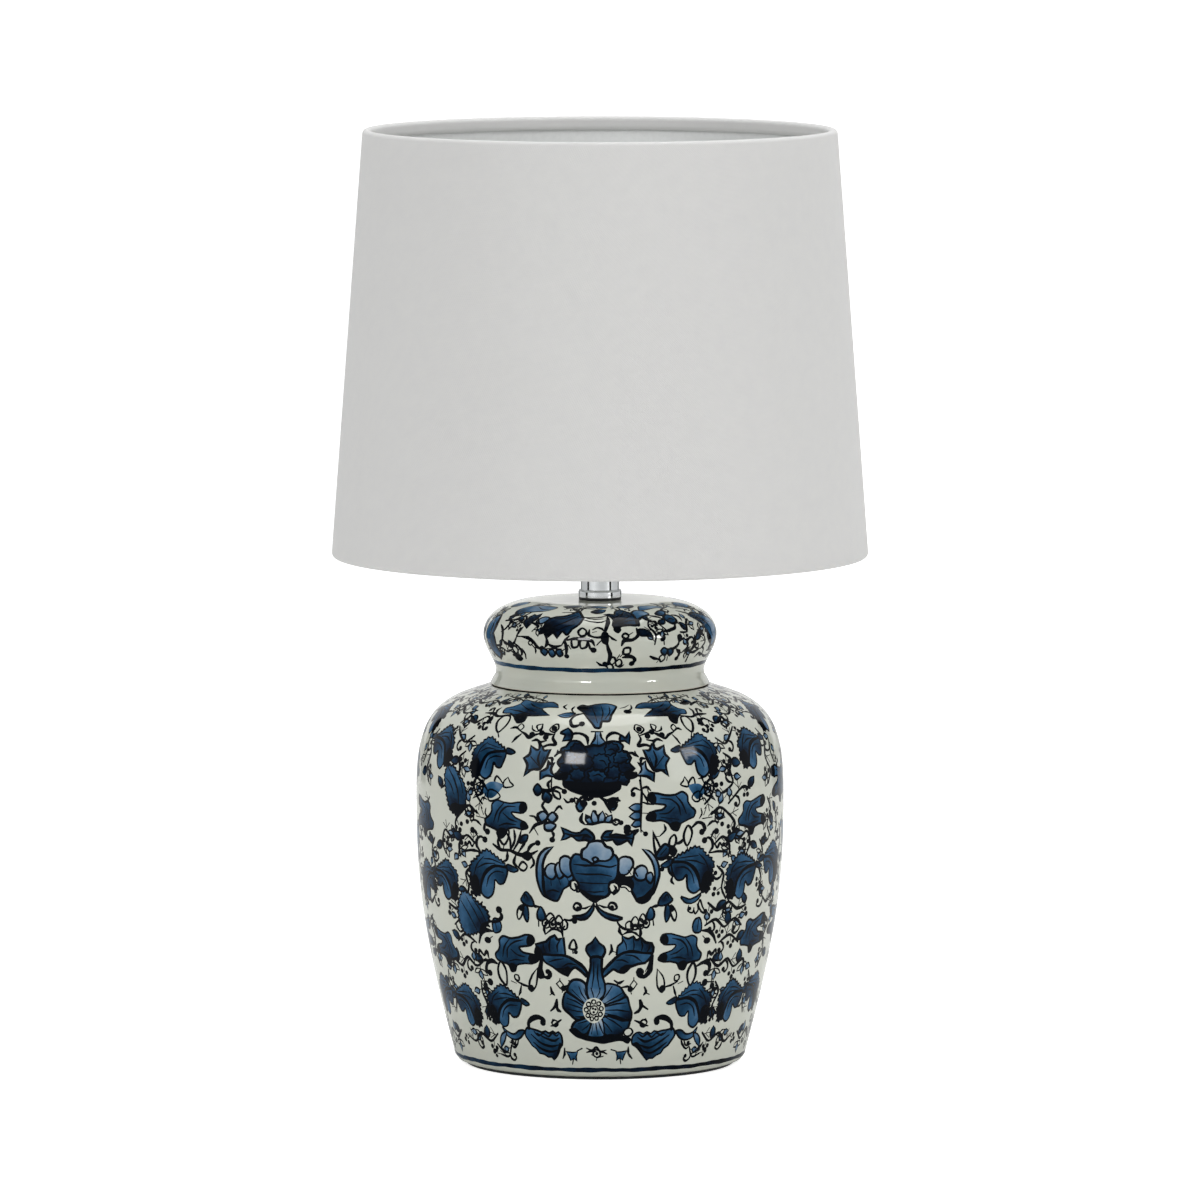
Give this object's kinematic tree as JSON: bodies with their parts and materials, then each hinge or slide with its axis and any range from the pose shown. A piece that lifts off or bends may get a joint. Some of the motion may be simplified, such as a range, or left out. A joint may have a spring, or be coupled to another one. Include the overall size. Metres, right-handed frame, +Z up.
{
  "type": "table lamp",
  "caption": "Table lamp with a blue-and-white porcelain ginger jar base, chrome neck and a tapered white fabric drum shade.",
  "frame": {"origin": "on the jar's axis, on the plane that the felt under the foot stands on", "axes": "+Z up the jar's axis, +Y to the back where the cord hole is, +X to the right seen from the front"},
  "size_m": [0.3, 0.3, 0.5238],
  "materials": {
    "glazed_porcelain": "glossy glaze",
    "rubber": "matte",
    "felt": "felt",
    "zinc_steel": "zinc plated",
    "chrome": "polished",
    "white_thermoset": "moulded",
    "steatite": "unglazed",
    "brass": "plain",
    "white_enamel": "powder coat",
    "liner_film": "satin film",
    "shade_fabric": "fine plain weave",
    "cap_metal": "rolled",
    "black_glass": "glossy",
    "white_plastic": "satin",
    "board": "white solder mask",
    "opal_glass": "opal"
  },
  "bodies": {
    "base": {"jar_body": "glazed_porcelain", "jar_lid": "glazed_porcelain", "lid_gasket": "rubber", "foot_felt": "felt", "cord_bush": "rubber", "base_washer": "zinc_steel", "lock_washer": "zinc_steel", "base_nut": "zinc_steel", "lamp_tube": "zinc_steel", "neck_washer": "rubber", "neck_collar": "chrome", "neck_nut": "zinc_steel", "neck_sleeve": "chrome", "holder_cap": "white_thermoset", "cap_lock_screw": "zinc_steel", "holder_skirt": "white_thermoset", "holder_core": "steatite", "terminal_blocks": "brass", "terminal_screws": "zinc_steel", "screw_shell": "brass", "centre_contact": "brass", "side_contact": "brass"},
    "lower_ring": {"lower_shade_ring": "white_thermoset"},
    "shade": {"shade_fitter": "white_enamel", "fitter_arms": "white_enamel", "shade_bottom_ring": "white_enamel", "shade_top_ring": "white_enamel", "shade_liner": "liner_film", "shade_fabric": "shade_fabric"},
    "upper_ring": {"upper_shade_ring": "white_thermoset"},
    "bulb": {"bulb_contact": "cap_metal", "bulb_insulator": "black_glass", "bulb_cap": "cap_metal", "bulb_body": "white_plastic", "led_board": "board", "bulb_globe": "opal_glass"}
  },
  "joints": [
    {"name": "shade_swivel", "type": "hinge", "parent": "base", "child": "lower_ring", "pos_m": [0, 0, 0.3], "axis": [0, 0, 1], "continuous": true},
    {"name": "shade_lift", "type": "slide", "parent": "lower_ring", "child": "shade", "axis": [0, 0, 1], "range_m": [0, 0.115]},
    {"name": "upper_ring_turn", "type": "hinge", "parent": "shade", "child": "upper_ring", "pos_m": [0, 0, 0.31], "axis": [0, 0, 1], "range_deg": [0, 1080]},
    {"name": "bulb_lift", "type": "slide", "parent": "base", "child": "bulb", "axis": [0, 0, 1], "range_m": [0, 0.028]}
  ]
}
